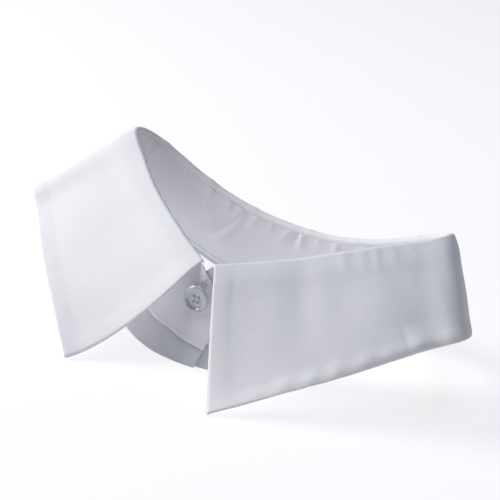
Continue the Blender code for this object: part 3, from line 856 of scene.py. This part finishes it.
def buttonholeRuns():
    runs = []
    share = np.linspace(0.0, 1.0, sewingThread["rings"])
    lift = 0.20 * np.sin(math.pi * share) ** 0.6 - 0.08
    count = int(buttonhole["long"] / buttonhole["pitch"])
    bars = []
    for k in range(count):
        down = shirtButton["drop"] - buttonhole["long"] / 2.0 + (k + 0.5) * buttonhole["pitch"]
        for side in (-1.0, 1.0):
            bars.append((side * buttonhole["slit"] / 2.0, down, side * buttonhole["wide"] / 2.0, down + 0.05 * side))
    for end in (-1.0, 1.0):  # the bar tack that closes each end
        for k in range(4):
            down = shirtButton["drop"] + end * (buttonhole["long"] / 2.0 + 0.1 + 0.24 * k)
            bars.append((-buttonhole["wide"] / 2.0, down, buttonhole["wide"] / 2.0, down + 0.05))
    for s0, d0, s1, d1 in bars:
        place = -collar["halfNeck"] - shirtButton["aside"] + s0 + (s1 - s0) * share
        spots, ups = onBand(standTree, place, d0 + (d1 - d0) * share, 1)
        runs.append((spots + ups * lift[:, None], ups))
    return runs


button = makeButton()
stitchPieces += [
    threadObject("buttonThread", buttonThreads(), 0.27, 0.1),
    threadObject("buttonThreadInside", insideThreads(), 0.27, 0.4),
    threadObject("buttonholeStitches", buttonholeRuns(), buttonhole["thick"], 0.4),
]
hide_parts("button")
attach(button, "root")
for piece in stitchPieces:
    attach(piece, "root")
print("stage: button and threads")


def linear(hexText):  # sRGB hex to the linear values that nodes use
    parts = [int(hexText[k:k + 2], 16) / 255.0 for k in (1, 3, 5)]
    return tuple(p / 12.92 if p <= 0.04045 else ((p + 0.055) / 1.055) ** 2.4 for p in parts) + (1.0,)


# adds a node: settings by attribute or socket name, links as socket: source
def addNode(tree, kind, settings, links=()):
    node = tree.nodes.new(kind)
    for key, value in settings.items():
        if isinstance(key, str) and hasattr(node, key):
            setattr(node, key, value)
        else:
            node.inputs[key].default_value = value
    for key, source in dict(links).items():
        tree.links.new(source, node.inputs[key])
    return node


def newMaterial(name):
    material = bpy.data.materials.new(name)
    material.use_nodes = True
    material.node_tree.nodes.clear()
    return material, material.node_tree


def finishMaterial(tree, settings, links):
    shader = addNode(tree, "ShaderNodeBsdfPrincipled", settings, links)
    addNode(tree, "ShaderNodeOutputMaterial", {}, {"Surface": shader.outputs[0]})


# Cotton poplin, plain woven and bleached, pressed on a fused lining: matt white with a fine even grain,
# a little light caught by the fibres' nap, and faint thick and thin threads both ways.
poplin = {
    "spacing": 0.45,        # mm; real poplin has about 0.25, drawn coarser so that it shows
    "weaveDepth": 0.05,     # mm
    "warpStreak": (1.9, 0.045, 1.0),  # uneven threads, features per mm across and along them
    "weftStreak": (0.05, 1.7, 1.0),
    "cloud": 0.085,         # soft unevenness of the pressing, features per mm
    "cloudDepth": 0.10,
    "roughness": 0.82,
    "sheen": 0.10,
    "sheenRoughness": 0.45,
    "glow": 0.06,           # light that spreads inside the cloth
    "glowReach": 0.0012,
    "yarnContrast": 0.55,
}


def makePoplin(name, light, shade, depth):
    material, tree = newMaterial(name)
    place = addNode(tree, "ShaderNodeAttribute", {"attribute_name": "cut"}).outputs["Vector"]
    inMm = addNode(tree, "ShaderNodeVectorMath", {"operation": "SCALE", "Scale": 1000.0}, {0: place}).outputs[0]
    parts = addNode(tree, "ShaderNodeSeparateXYZ", {}, {0: inMm})
    waves = []
    for axis in ("X", "Y"):
        angle = addNode(tree, "ShaderNodeMath", {"operation": "MULTIPLY", 1: math.pi / poplin["spacing"]},
                        {0: parts.outputs[axis]})
        waves.append(addNode(tree, "ShaderNodeMath", {"operation": "SINE"}, {0: angle.outputs[0]}).outputs[0])
    weave = addNode(tree, "ShaderNodeMath", {"operation": "MULTIPLY"}, {0: waves[0], 1: waves[1]}).outputs[0]
    streaks = []
    for scale in (poplin["warpStreak"], poplin["weftStreak"]):
        spot = addNode(tree, "ShaderNodeMapping", {"Scale": scale}, {"Vector": inMm}).outputs[0]
        streaks.append(addNode(tree, "ShaderNodeTexNoise", {"Scale": 1.0, "Detail": 2.0, "Roughness": 0.6},
                               {"Vector": spot}).outputs["Fac"])
    yarn = addNode(tree, "ShaderNodeMath", {"operation": "ADD"}, {0: streaks[0], 1: streaks[1]}).outputs[0]
    cloud = addNode(tree, "ShaderNodeTexNoise", {"Scale": poplin["cloud"], "Detail": 2.0, "Roughness": 0.45},
                    {"Vector": inMm}).outputs["Fac"]
    nap = addNode(tree, "ShaderNodeTexNoise", {"Scale": 3.2, "Detail": 3.0, "Roughness": 0.7},
                  {"Vector": inMm}).outputs["Fac"]
    tone = addNode(tree, "ShaderNodeMath", {"operation": "MULTIPLY_ADD", 1: poplin["yarnContrast"]},
                   {0: yarn, 2: nap}).outputs[0]
    mixed = addNode(tree, "ShaderNodeMapRange", {"From Min": 0.75, "From Max": 1.4}, {"Value": tone}).outputs[0]
    colour = addNode(tree, "ShaderNodeMix", {"data_type": "RGBA", 6: linear(shade), 7: linear(light)}, {0: mixed})
    grain = addNode(tree, "ShaderNodeMath", {"operation": "MULTIPLY_ADD", 1: 0.5}, {0: weave, 2: yarn}).outputs[0]
    surface = addNode(tree, "ShaderNodeBump", {"Strength": 1.0, "Distance": poplin["cloudDepth"] * mm},
                      {"Height": cloud})
    surface = addNode(tree, "ShaderNodeBump", {"Strength": depth, "Distance": poplin["weaveDepth"] * mm},
                      {"Height": grain, "Normal": surface.outputs[0]})
    finishMaterial(tree, {
        "Roughness": poplin["roughness"], "IOR": 1.47, "Specular IOR Level": 0.3,
        "Sheen Weight": poplin["sheen"], "Sheen Roughness": poplin["sheenRoughness"],
        "Subsurface Weight": poplin["glow"], "Subsurface Scale": poplin["glowReach"],
        "Subsurface Radius": (1.0, 0.95, 0.9),
    }, {"Base Color": colour.outputs[2], "Normal": surface.outputs[0]})
    return material


# Polyester resin, cast in sheet, turned and tumbled: clear with a faint milky cloud, polished all over,
# with a light grey body colour painted to stand for the shaded cloth seen through it, and bright narrow lights on its
# rim.
def makeButtonResin():
    material, tree = newMaterial("polyesterResinCastTumbled")
    place = addNode(tree, "ShaderNodeTexCoord", {}).outputs["Object"]
    cloud = addNode(tree, "ShaderNodeTexNoise", {"Scale": 210.0, "Detail": 3.0, "Distortion": 1.4},
                    {"Vector": place}).outputs["Fac"]
    colour = addNode(tree, "ShaderNodeValToRGB", {}, {"Fac": cloud})
    colour.color_ramp.elements[0].position, colour.color_ramp.elements[1].position = 0.35, 0.68
    # painted shade: both ends are light grey, standing for the shaded cloth seen through the button; the noise between
    # them is the milky cloud
    colour.color_ramp.elements[0].color = linear("#DADCE2")
    colour.color_ramp.elements[1].color = linear("#EDEEF2")
    polish = addNode(tree, "ShaderNodeMapRange", {"To Min": 0.04, "To Max": 0.1}, {"Value": cloud}).outputs[0]
    rub = addNode(tree, "ShaderNodeTexNoise", {"Scale": 1400.0, "Detail": 2.0}, {"Vector": place}).outputs["Fac"]
    surface = addNode(tree, "ShaderNodeBump", {"Strength": 0.25, "Distance": 0.01 * mm}, {"Height": rub})
    finishMaterial(tree, {"IOR": 1.54, "Transmission Weight": 0.5, "Coat Weight": 1.0, "Coat Roughness": 0.02},
                   {"Base Color": colour.outputs[0], "Roughness": polish, "Normal": surface.outputs[0]})
    return material


# Spun polyester sewing thread, two ply and twisted: white, a little shinier than the cloth, with a slanting ply.
def makeThreadMaterial():
    material, tree = newMaterial("polyesterThreadTwisted")
    place = addNode(tree, "ShaderNodeAttribute", {"attribute_name": "cut"}).outputs["Vector"]
    inMm = addNode(tree, "ShaderNodeVectorMath", {"operation": "SCALE", "Scale": 1000.0}, {0: place}).outputs[0]
    parts = addNode(tree, "ShaderNodeSeparateXYZ", {}, {0: inMm})
    turns = addNode(tree, "ShaderNodeMath", {"operation": "MULTIPLY_ADD", 1: 1.6},  # twists per mm
                    {0: parts.outputs["X"], 2: parts.outputs["Y"]})
    angle = addNode(tree, "ShaderNodeMath", {"operation": "MULTIPLY", 1: 4.0 * math.pi}, {0: turns.outputs[0]})
    ply = addNode(tree, "ShaderNodeMath", {"operation": "SINE"}, {0: angle.outputs[0]}).outputs[0]
    fluff = addNode(tree, "ShaderNodeTexNoise", {"Scale": 9.0, "Detail": 3.0}, {"Vector": inMm}).outputs["Fac"]
    colour = addNode(tree, "ShaderNodeValToRGB", {}, {"Fac": fluff})
    colour.color_ramp.elements[0].color = linear("#E6E7EC")
    colour.color_ramp.elements[1].color = linear("#F8F8FA")
    surface = addNode(tree, "ShaderNodeBump", {"Strength": 0.6, "Distance": 0.04 * mm}, {"Height": ply})
    finishMaterial(tree, {"Roughness": 0.6, "Sheen Weight": 0.2}, {"Base Color": colour.outputs[0],
                                                                  "Normal": surface.outputs[0]})
    return material


# Paper sweep, matt: pale and nearly even, so that the white collar stands free of it.
def makePaper():
    material, tree = newMaterial("backdropPaperMatt")
    place = addNode(tree, "ShaderNodeTexCoord", {}).outputs["Object"]
    tooth = addNode(tree, "ShaderNodeTexNoise", {"Scale": 900.0, "Detail": 2.0}, {"Vector": place}).outputs["Fac"]
    colour = addNode(tree, "ShaderNodeValToRGB", {}, {"Fac": tooth})
    colour.color_ramp.elements[0].color = linear("#9A9A9C")
    colour.color_ramp.elements[1].color = linear("#A2A2A4")
    finishMaterial(tree, {"Roughness": 0.95, "Specular IOR Level": 0.1, "Emission Color": linear("#FDFDFF"),
                          "Emission Strength": studio["paperGlow"]}, {"Base Color": colour.outputs[0]})
    return material


def wear(piece, material):
    piece.data.materials.clear()
    piece.data.materials.append(material)


studio = {
    "paperGlow": 0.76,      # keeps the paper white where the collar's shadow falls
    "paperSize": 6.0,
    "lights": {             # place, size, power, colour
        "key": ((-1.10, -0.30, 0.76), 0.85, 16.2, "#FFFEFC"),
        "top": ((0.0, 0.0, 1.45), 1.0, 6.2, "#E6ECFF"),
    },
    "sky": ("#E4E9F8", 0.02),
    "aim": (0.0, 0.0, 0.03),
}
wear(leaf, makePoplin("cottonPoplinFused", "#FAFAFC", "#F0F0F4", 0.42))
# the stand's colours are painted a little darker than the leaf's: painted shade, for the shade the stand lies in under
# the leaf
wear(stand, makePoplin("cottonPoplinStandPaintedShade", "#F2F2F6", "#E6E6EC", 0.6))
# the strip's colours are painted darker and greyer than the stand's: painted shade, for the shade it lies in below the
# stand
wear(strip, makePoplin("cottonPoplinStripPaintedShade", "#D6D7DF", "#C9CAD3", 0.7))
wear(button, makeButtonResin())
threadMaterial = makeThreadMaterial()
for piece in stitchPieces:
    wear(piece, threadMaterial)
print("stage: materials")


def addFloor():
    half = studio["paperSize"] / 2.0
    mesh = bpy.data.meshes.new("paperFloor")
    steps = np.linspace(-half, half, 9)
    x, y = np.meshgrid(steps, steps, indexing="ij")
    index = np.arange(81).reshape(9, 9)
    faces = np.stack([index[:-1, :-1], index[1:, :-1], index[1:, 1:], index[:-1, 1:]], axis=-1).reshape(-1, 4)
    mesh.from_pydata(np.stack([x, y, x * 0.0], axis=-1).reshape(-1, 3).tolist(), [], faces.tolist())
    floor = bpy.data.objects.new("paperFloor", mesh)
    bpy.context.scene.collection.objects.link(floor)
    wear(floor, makePaper())


def addCamera():
    az, el, roll = (math.radians(view[k]) for k in ("azimuth", "elevation", "roll"))
    back = Vector((math.sin(az) * math.cos(el), -math.cos(az) * math.cos(el), math.sin(el)))
    right = Vector((math.cos(az), math.sin(az), 0.0))
    up = back.cross(right)
    tiltedRight = right * math.cos(roll) + up * math.sin(roll)
    tiltedUp = up * math.cos(roll) - right * math.sin(roll)
    data = bpy.data.cameras.new("photoView")
    data.sensor_fit = "HORIZONTAL"
    data.sensor_width = 36.0
    data.lens = view["focalPixels"] / 500.0 * data.sensor_width
    data.shift_x = (250.0 - view["centrePixel"][0]) / 500.0
    data.shift_y = (view["centrePixel"][1] - 250.0) / 500.0
    data.clip_start = 0.05
    camera = bpy.data.objects.new("photoView", data)
    bpy.context.scene.collection.objects.link(camera)
    turn = Matrix((tiltedRight, tiltedUp, back)).transposed().to_4x4()
    camera.matrix_world = Matrix.Translation(Vector(view["target"]) + back * view["distance"]) @ turn
    bpy.context.scene.camera = camera


def addLight(name, place, size, power, colour):
    data = bpy.data.lights.new(name, "AREA")
    data.shape, data.size, data.energy = "DISK", size, power
    data.color = linear(colour)[:3]
    lamp = bpy.data.objects.new(name, data)
    bpy.context.scene.collection.objects.link(lamp)
    lamp.location = place
    lamp.rotation_euler = (Vector(place) - Vector(studio["aim"])).to_track_quat("Z", "Y").to_euler()


addFloor()
addCamera()
for name, settings in studio["lights"].items():
    addLight(name, *settings)
world = bpy.data.worlds.new("studio")
world.use_nodes = True
bpy.context.scene.world = world
sky = world.node_tree.nodes["Background"]
sky.inputs["Color"].default_value, sky.inputs["Strength"].default_value = linear(studio["sky"][0]), studio["sky"][1]
bpy.context.scene.view_settings.view_transform = "Standard"
print("stage: floor, camera and lights")
